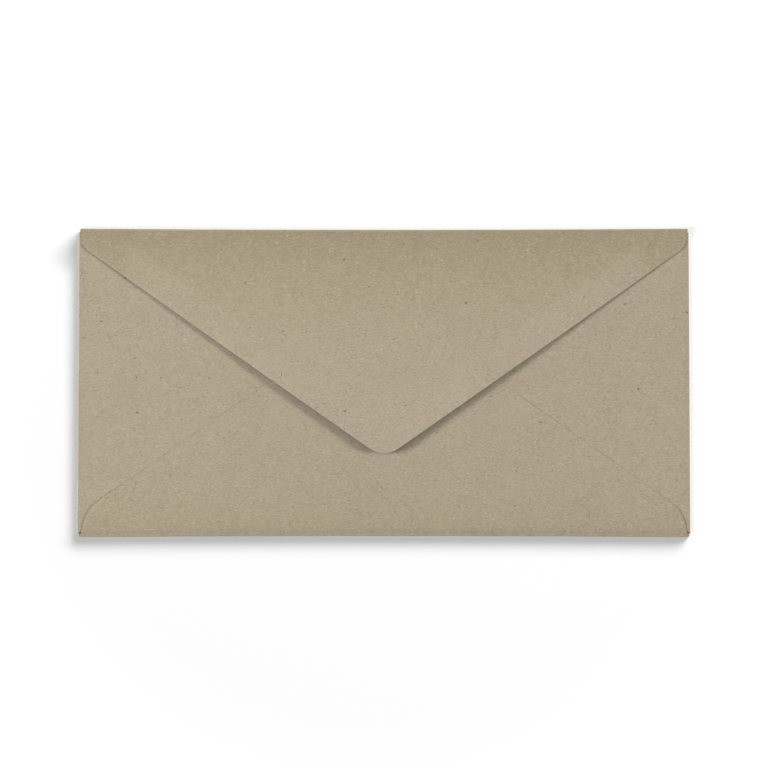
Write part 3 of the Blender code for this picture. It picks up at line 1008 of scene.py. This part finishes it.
def make_pocket_sheet():
    """Cuts, folds and dresses the sheet of the pocket: front, side flaps and bottom flap in one piece."""
    fold = bpy.context.scene.envelope_fold
    paper, edge = paper_materials()["pocket"]
    left, right, bottom = pocket_folds()
    side_shift = folded_reach(*right)
    bottom_shift = folded_reach(*bottom)
    side_crease = right[0].start
    bottom_crease = bottom[0].start

    def flat_side(depth):
        """Flat x of a point that lies this far in from the envelope's side once it is folded."""
        return 2 * side_crease - HALF_LENGTH + side_shift + depth

    def flat_bottom(away):
        """Flat y of a point that lies this far up from the bottom edge once it is folded."""
        return -(2 * bottom_crease - HALF_HEIGHT + bottom_shift + away)

    flap = bottom_cut()
    root_away = HALF_HEIGHT - bottom_crease
    root_half_width = flap.half_width(root_away)
    bottom_outline = flap.outline(root_away, -bottom_crease, flat_bottom)
    side_corners = side_flap_corners(side_crease, flat_side)
    side_outline = rounded_outline(side_corners)
    mirrored = [(-x, y) for x, y in side_outline]
    low, high = side_corners[0][1], side_corners[-1][1]
    front = [
        (-side_crease, -bottom_crease),
        (-root_half_width, -bottom_crease),
        (root_half_width, -bottom_crease),
        (side_crease, -bottom_crease),
        (side_crease, low),
        (side_crease, high),
        (side_crease, TOP_CREASE_Y),
        (-side_crease, TOP_CREASE_Y),
        (-side_crease, high),
        (-side_crease, low),
    ]

    side_flat = right[1].start + right[1].length
    side_end = max(x for x, y in side_outline)
    half_lines = spaced_lines(0, side_crease, fold.grid)
    half_lines += right[0].lines(TIGHT_LINES) + right[1].lines(SIDE_WIDE_LINES)
    half_lines += spaced_lines(side_flat, side_end, fold.grid)[:-1]
    bottom_flat = bottom[1].start + bottom[1].length
    bottom_end = -min(y for x, y in bottom_outline)
    folded_lines = bottom[0].lines(TIGHT_LINES) + bottom[1].lines(BOTTOM_WIDE_LINES)
    folded_lines += spaced_lines(bottom_flat, bottom_end, fold.grid)[:-1]
    y_lines = [-value for value in folded_lines] + spaced_lines(-bottom_crease, TOP_CREASE_Y, fold.grid)
    outlines = [front, bottom_outline, side_outline, mirrored]
    piece = cut_blank("pocket_sheet", outlines, mirrored_lines(half_lines), y_lines)

    mesh = piece.data
    points = flat_points(mesh)
    is_bottom = points[:, 1] < -bottom_crease
    is_side = np.abs(points[:, 0]) > side_crease
    cut_distance = np.full(len(points), FAR)
    cut_distance[is_bottom] = distance_to_path(points[is_bottom], bottom_outline)
    for outline, sign in ((side_outline, 1), (mirrored, -1)):
        chosen = is_side & (points[:, 0] * sign > 0)
        cut_distance[chosen] = distance_to_path(points[chosen], outline)
    store(mesh, "cut_distance", cut_distance)
    store(mesh, "fold_distance", np.where(is_side, FAR, np.abs(points[:, 1] + bottom_crease)))
    store(mesh, "side_distance", np.where(is_bottom, FAR, np.abs(np.abs(points[:, 0]) - side_crease)))
    store(mesh, "gum_backing", np.zeros(len(points)))
    points[:, 2] += np.where(is_bottom, seam_press(points, cut_distance, bottom_flat), 0.0)
    mesh.vertices.foreach_set("co", points.ravel())

    mesh.materials.append(paper)
    mesh.materials.append(edge)
    bends = [bottom[1], bottom[0], left[1], left[0], right[1], right[0]]
    run_tree(piece, *fold_tree("Fold the pocket", bends, paper))
    give_thickness(piece, cut_distance)
    piece = make_plain(piece)
    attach(piece, "pocket")
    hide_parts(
        "front_panel", "left_side_fold", "left_side_flap", "right_side_fold", "right_side_flap",
        "bottom_fold", "bottom_flap",
    )


def make_seal_sheet():
    """Cuts, folds and dresses the seal flap with the top crease."""
    fold = bpy.context.scene.envelope_fold
    glue = bpy.context.scene.envelope_glue
    paper, edge = paper_materials()["flap"]
    steps = seal_steps()
    crease = steps[-1]
    flat_start = flap_flat_start(crease)
    root_away = HALF_HEIGHT - TOP_CREASE_Y
    outline = seal_cut().outline(root_away, crease.start, lambda away: flat_start + away)
    flap_end = max(y for x, y in outline)
    y_lines = crease.lines(CREASE_LINES)
    y_lines += spaced_lines(crease.start + crease.length, flap_end, fold.grid)[:-1]
    x_lines = mirrored_lines(spaced_lines(0, HALF_LENGTH, fold.grid))
    piece = cut_blank("seal_flap_sheet", [outline], x_lines, y_lines)

    mesh = piece.data
    points = flat_points(mesh)
    cut_distance = distance_to_path(points, outline[1:-1])
    store(mesh, "cut_distance", cut_distance)
    from_crease = points[:, 1] - crease.start
    start_fade = 1 - smooth_step(from_crease, 0.0, crease.length)
    store(mesh, "fold_distance", from_crease - crease.length + start_fade)
    store(mesh, "side_distance", np.full(len(points), FAR))
    gum_end = HALF_LENGTH - glue.gum_side_margin
    backing = 1 - smooth_step(np.abs(points[:, 0]), gum_end - GUM_FADE, gum_end + GUM_FADE)
    store(mesh, "gum_backing", backing)

    mesh.materials.append(paper)
    mesh.materials.append(edge)
    run_tree(piece, *fold_tree("Fold the seal flap", steps, paper))
    give_thickness(piece, cut_distance)
    piece = make_plain(piece)
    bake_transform(piece)
    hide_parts("top_crease", "seal_flap")


def film_maker(width, tip_radius):
    """What a fold tree does first for a film: rounds its path and draws a flat closed lens along it."""
    height = bpy.context.scene.envelope_glue.film_height

    def prepare(add, shape):
        if tip_radius > 0:
            inputs = {"Curve": shape, "Count": ROUND_STEPS, "Radius": tip_radius}
            shape = add("GeometryNodeFilletCurve", inputs=inputs, mode="POLY")
        shape = add("GeometryNodeResampleCurve", inputs={"Curve": shape, "Length": FILM_STEP}, mode="LENGTH")
        shape = add("GeometryNodeSetCurveNormal", shape, mode="Z_UP")
        ring = add("GeometryNodeCurvePrimitiveCircle", inputs={"Resolution": ROUND_STEPS, "Radius": 1.0})
        lens = add("GeometryNodeTransform", inputs={"Geometry": ring, "Scale": (width / 2, height, 1.0)})
        inputs = {"Curve": shape, "Profile Curve": lens, "Fill Caps": True}
        return add("GeometryNodeCurveToMesh", inputs=inputs)

    return prepare


def lay_film(name, points, width, tip_radius, steps, material):
    """Lays a dried film along an open straight-sided path on the flat sheet, and folds it with the sheet."""
    curve = bpy.data.curves.new(name, "CURVE")
    curve.dimensions = "3D"
    spline = curve.splines.new("POLY")
    spline.points.add(len(points) - 1)
    for spot, point in zip(spline.points, points):
        spot.co = (*point, 1.0)
    piece = new_object(name, curve)
    run_tree(piece, *fold_tree(f"Lay {name}", steps, material, film_maker(width, tip_radius)))
    return make_plain(piece)


def make_gum_band():
    """Lays the gum band along the seal flap's cut edges and folds it with the flap."""
    glue = bpy.context.scene.envelope_glue
    steps = seal_steps()
    flat_start = flap_flat_start(steps[-1])
    flap = seal_cut()
    middle = glue.gum_inset + glue.gum_width / 2
    start_x = HALF_LENGTH - glue.gum_side_margin - glue.gum_width / 2
    line = flap.inward(middle)
    points = [(x, flat_start + flap.edge(abs(x)) - line, THICKNESS / 2) for x in (-start_x, 0.0, start_x)]
    tip_radius = max(flap.tip_radius - middle, LEAST_FILM_RADIUS)
    colour = bpy.context.scene.envelope_paper.gum
    material = dried_film("dried_dextrin_gum", colour, roughness=0.36, streak_mm=0.8)
    piece = lay_film("seal_gum_band", points, glue.gum_width, tip_radius, steps, material)
    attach(piece, "flap")
    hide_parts("seal_gum")


def make_seam_glue():
    """Lays the glue line of each seam between the side flap and the bottom flap."""
    glue = bpy.context.scene.envelope_glue
    cut = bpy.context.scene.envelope_cut
    flap = bottom_cut()
    line = flap.inward(glue.glue_inset + glue.glue_width / 2)
    colour = bpy.context.scene.envelope_paper.glue
    material = dried_film("dried_seam_glue", colour, roughness=0.5, streak_mm=0.6)
    height = SIDE_LEVEL + THICKNESS / 2 + glue.film_height / 4
    outer_x = HALF_LENGTH - glue.glue_side_margin
    inner_x = HALF_LENGTH - cut.side_depth + cut.side_end_lean / 2 + glue.glue_end_margin
    for side, name in ((-1, "left_seam_glue"), (1, "right_seam_glue")):
        points = [(side * x, flap.edge(x) - line - HALF_HEIGHT, height) for x in (outer_x, inner_x)]
        piece = lay_film(f"{name}_line", points, glue.glue_width, 0.0, [], material)
        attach(piece, "pocket")
        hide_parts(name)


def fibre_tree(material):
    """A tree that scatters short bent fibres over a sheet, each with its own turn, size and tone.

    A fibre's radius is a share of its length.
    """
    paper = bpy.context.scene.envelope_paper
    values = {
        "Density": paper.fibres_per_square_cm * 1e4,
        "Fibre length": paper.fibre_length,
        "Fibre radius": 0.04,
        "Seed": 7,
    }
    tree = bpy.data.node_groups.new("Scatter fibres", "GeometryNodeTree")
    add = partial(add_node, tree)
    source, target = tree_inputs(tree, values)
    given = source.outputs
    spots = add(
        "GeometryNodeDistributePointsOnFaces",
        inputs={"Mesh": given["Geometry"], "Density": given["Density"], "Seed": given["Seed"]},
    )
    bow = add(
        "GeometryNodeCurveQuadraticBezier", inputs={
            "Resolution": 6,
            "Start": (-0.5, 0.0, 0.0),
            "Middle": (0.05, 0.2, 0.0),
            "End": (0.5, 0.0, 0.0),
        },
    )
    ring = add("GeometryNodeCurvePrimitiveCircle", inputs={"Resolution": 3, "Radius": given["Fibre radius"]})
    fibre = add("GeometryNodeCurveToMesh", inputs={"Curve": bow, "Profile Curve": ring, "Fill Caps": True})
    turn, size, tone = (
        add("FunctionNodeRandomValue", inputs={2: low, 3: high, "Seed": seed}, data_type="FLOAT").outputs[1]
        for low, high, seed in ((0.0, 2 * math.pi, 11), (0.45, 1.6, 23), (0.0, 1.0, 31))
    )
    spin = add("FunctionNodeAxisAngleToRotation", inputs={"Axis": (0.0, 0.0, 1.0), "Angle": turn})
    rotation = add("FunctionNodeRotateRotation", spots.outputs["Rotation"], spin, rotation_space="LOCAL")
    scale = add(MATH, size, given["Fibre length"], operation="MULTIPLY")
    placed = add(
        "GeometryNodeInstanceOnPoints",
        inputs={"Points": spots, "Instance": fibre, "Rotation": rotation, "Scale": scale},
    )
    toned = add(
        "GeometryNodeStoreNamedAttribute", inputs={"Geometry": placed, "Name": "fibre_tone", "Value": tone},
        data_type="FLOAT", domain="INSTANCE",
    )
    finish_tree(tree, toned, material, target)
    return tree, values


def make_fibres(sheet, name, body, keep):
    """Scatters loose fibres over the faces of a sheet that keep says yes to."""
    builder = bmesh.new()
    builder.from_mesh(sheet.data)
    dropped = [face for face in builder.faces if not keep(face)]
    bmesh.ops.delete(builder, geom=dropped, context="FACES")
    piece = new_object(name, built_mesh(builder, name))
    material = bpy.data.materials.get("loose_cellulose_fibre") or loose_fibre()
    run_tree(piece, *fibre_tree(material))
    piece = make_plain(piece)
    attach(piece, body)


# The operators

class EnvelopeOperator:
    """What the operators share."""

    bl_options = {"REGISTER", "UNDO"}


class ENVELOPE_OT_pocket(EnvelopeOperator, bpy.types.Operator):
    """Cut and fold the pocket's sheet"""

    bl_idname = "envelope.pocket"
    bl_label = "Fold the pocket"

    def execute(self, context):
        make_pocket_sheet()
        return {"FINISHED"}


class ENVELOPE_OT_seal_flap(EnvelopeOperator, bpy.types.Operator):
    """Cut and fold the seal flap"""

    bl_idname = "envelope.seal_flap"
    bl_label = "Fold the seal flap"

    def execute(self, context):
        make_seal_sheet()
        return {"FINISHED"}


class ENVELOPE_OT_glue(EnvelopeOperator, bpy.types.Operator):
    """Lay the gum band and the glue of the seams"""

    bl_idname = "envelope.glue"
    bl_label = "Lay gum and glue"

    def execute(self, context):
        make_gum_band()
        make_seam_glue()
        return {"FINISHED"}


class ENVELOPE_OT_fibres(EnvelopeOperator, bpy.types.Operator):
    """Scatter loose fibres over the paper's outside"""

    bl_idname = "envelope.fibres"
    bl_label = "Scatter fibres"

    def execute(self, context):
        clear = 1.5 * MM
        crease_top = 2 * CREASE_CENTRE_Z - THICKNESS
        flap = seal_cut()
        glue = context.scene.envelope_glue
        gum_start = flap.inward(glue.gum_inset - clear)
        gum_end = flap.inward(glue.gum_inset + glue.gum_width + clear)

        def on_pocket(face):
            x, y, z = face.calc_center_median()
            inside = abs(x) < HALF_LENGTH - clear and -HALF_HEIGHT + 2 * clear < y < TOP_CREASE_Y - clear
            below_cut = flap.edge(abs(x)) - (HALF_HEIGHT - y)
            under_gum = gum_start < below_cut < gum_end
            return inside and not under_gum and z > 2 * THICKNESS and face.normal.z > 0.5

        def on_flap(face):
            place = face.calc_center_median()
            return place.y < TOP_CREASE_Y - 2 * clear and place.z > crease_top and face.normal.z > 0.5

        make_fibres(bpy.data.objects["pocket_sheet"], "pocket_fibres", "pocket", on_pocket)
        make_fibres(bpy.data.objects["seal_flap_sheet"], "seal_flap_fibres", "flap", on_flap)
        return {"FINISHED"}


class ENVELOPE_OT_stage(EnvelopeOperator, bpy.types.Operator):
    """Set the floor, the lights and the camera"""

    bl_idname = "envelope.stage"
    bl_label = "Set the stage"

    def execute(self, context):
        make_stage(context.scene)
        return {"FINISHED"}


def aimed(thing, place, target):
    """Puts a light or camera at a place, looking at a target."""
    thing.location = place
    thing.rotation_euler = (Vector(target) - Vector(place)).to_track_quat("-Z", "Y").to_euler()


def area_light(name, brightness, spread, azimuth, elevation, distance):
    """A soft rectangular light that looks at the envelope and gives a white sheet there this brightness.

    spread is its width and height, and azimuth its direction from +X, in degrees as seen from the envelope.
    """
    data = bpy.data.lights.new(name, "AREA")
    data.energy = brightness * (math.pi * distance) ** 2 / math.sin(elevation)
    data.shape = "RECTANGLE"
    data.size, data.size_y = (2 * distance * math.tan(math.radians(angle) / 2) for angle in spread)
    light = new_object(name, data)
    level = distance * math.cos(elevation)
    turn = math.radians(azimuth)
    place = (level * math.cos(turn), level * math.sin(turn), distance * math.sin(elevation))
    aimed(light, place, (0.0, 0.0, 0.0))
    return light


def link_floor(light, floor, state):
    """Lets a light reach the floor alone, or everything but the floor."""
    receivers = bpy.data.collections.new(f"{light.name}_receivers")
    receivers.objects.link(floor)
    light.light_linking.receiver_collection = receivers
    receivers.collection_objects[0].light_linking.link_state = state


def light_envelope(stage, floor):
    """A soft light on each side and one behind, none of which reaches the floor."""
    lights = (
        ("left_light", stage.left_light, (19, 16), 180, stage.left_elevation, stage.left_distance),
        ("right_light", stage.right_light, (16, 10), 0, stage.right_elevation, stage.right_distance),
        ("back_light", stage.back_light, (30, 14), 90, stage.back_elevation, stage.back_distance),
    )
    for light in lights:
        link_floor(area_light(*light), floor, "EXCLUDE")


def light_floor(stage, floor):
    """Lights for the floor alone: a low fan behind, for the soft shadow's steps, and one on the left."""
    share = stage.floor_shadow / len(LOW_LIGHT_ELEVATIONS)
    for number, height in enumerate(LOW_LIGHT_ELEVATIONS, start=1):
        name = f"floor_light_{number}"
        spread = (LOW_LIGHT_WIDTH, LOW_LIGHT_HEIGHT_SHARE * height)
        low = area_light(name, share, spread, LOW_LIGHT_AZIMUTH, math.radians(height), FLOOR_LIGHT_DISTANCE)
        link_floor(low, floor, "INCLUDE")
    counter = area_light(
        "floor_counter_light", stage.floor_counter, COUNTER_LIGHT_SPREAD, COUNTER_LIGHT_AZIMUTH,
        math.radians(COUNTER_LIGHT_ELEVATION), FLOOR_LIGHT_DISTANCE,
    )
    link_floor(counter, floor, "INCLUDE")


def seen_directly(add):
    """1 for a ray from the camera, also by way of gloss or glass, and 0 for a ray that only carries light."""
    rays = add("ShaderNodeLightPath").outputs
    seen = add(MATH, rays["Is Camera Ray"], rays["Is Glossy Ray"], operation="MAXIMUM")
    return add(MATH, seen, rays["Is Transmission Ray"], operation="MAXIMUM")


def make_stage(scene):
    """A pale floor, soft lights, a white world and the camera."""
    stage = scene.envelope_stage
    builder = bmesh.new()
    bmesh.ops.create_grid(builder, x_segments=1, y_segments=1, size=FLOOR_REACH)
    floor = new_object("floor", built_mesh(builder, "floor"))
    floor.location.z = -FLOOR_GAP
    floor.data.materials.append(floor_material(stage.floor, stage.floor_glow))
    light_envelope(stage, floor)
    light_floor(stage, floor)

    world = bpy.data.worlds.new("studio")
    scene.world = world
    world.use_nodes = True
    tree = world.node_tree
    add = partial(add_node, tree)
    strength = add(MATH, seen_directly(add), 1 - stage.ambient, stage.ambient, operation="MULTIPLY_ADD")
    background = tree.nodes["Background"]
    background.inputs["Color"].default_value = (1.0, 1.0, 1.0, 1.0)
    connect(tree, strength, background.inputs["Strength"])

    scene.view_settings.view_transform = "Standard"
    data = bpy.data.cameras.new("camera")
    data.sensor_width = SENSOR_WIDTH_MM
    data.lens = data.sensor_width * stage.camera_distance / stage.frame_width
    camera = new_object("camera", data)
    elevation = stage.camera_elevation
    target = Vector((0.0, -stage.frame_drop, BOTTOM_LEVEL))
    back = Vector((0.0, -math.cos(elevation), math.sin(elevation))) * stage.camera_distance
    aimed(camera, target + back, target)
    scene.camera = camera


def floor_material(colour, glow):
    """A matt white sweep that shows white where nothing shades it, and is evenly white further away."""
    material = bpy.data.materials.new("white_sweep")
    material.use_nodes = True
    tree = material.node_tree
    tree.nodes.remove(tree.nodes["Principled BSDF"])
    add = partial(add_node, tree)
    place = add("ShaderNodeTexCoord").outputs["Object"]
    reach = add(VECTOR, place, operation="LENGTH").outputs["Value"]
    far = add(RAMP, reach, *WHITE_FADE, glow, 1.0, **SOFT)
    strength = add(MATH, seen_directly(add), far, operation="MULTIPLY")
    light = add("ShaderNodeEmission", inputs={"Strength": strength})
    matt = add("ShaderNodeBsdfDiffuse", inputs={"Color": colour})
    both = add("ShaderNodeAddShader", matt, light)
    connect(tree, both, tree.nodes["Material Output"].inputs["Surface"])
    return material


OPERATORS = (
    ENVELOPE_OT_pocket,
    ENVELOPE_OT_seal_flap,
    ENVELOPE_OT_glue,
    ENVELOPE_OT_fibres,
    ENVELOPE_OT_stage,
)


class ENVELOPE_PT_sidebar(bpy.types.Panel):
    """The envelope's sizes, colours and steps"""

    bl_label = "Envelope"
    bl_idname = "ENVELOPE_PT_sidebar"
    bl_space_type = "VIEW_3D"
    bl_region_type = "UI"
    bl_category = "Envelope"

    def draw(self, context):
        for name in SETTINGS:
            settings = getattr(context.scene, name)
            box = self.layout.box()
            box.label(text=name.replace("_", " ").capitalize())
            for key in settings.bl_rna.properties.keys():
                if key not in ("rna_type", "name"):
                    box.prop(settings, key)
        for operator in OPERATORS:
            self.layout.operator(operator.bl_idname)


def register():
    """Registers the settings, the operators and the panel."""
    for name, settings in SETTINGS.items():
        bpy.utils.register_class(settings)
        setattr(bpy.types.Scene, name, PointerProperty(type=settings))
    for item in (*OPERATORS, ENVELOPE_PT_sidebar):
        bpy.utils.register_class(item)


def unregister():
    """Removes what register added."""
    for item in (ENVELOPE_PT_sidebar, *reversed(OPERATORS)):
        bpy.utils.unregister_class(item)
    for name, settings in SETTINGS.items():
        delattr(bpy.types.Scene, name)
        bpy.utils.unregister_class(settings)


def main():
    """Makes the envelope and its stage."""
    register()
    bpy.ops.envelope.pocket()
    bpy.ops.envelope.seal_flap()
    bpy.ops.envelope.glue()
    bpy.ops.envelope.fibres()
    bpy.ops.envelope.stage()


if __name__ == "__main__":
    main()
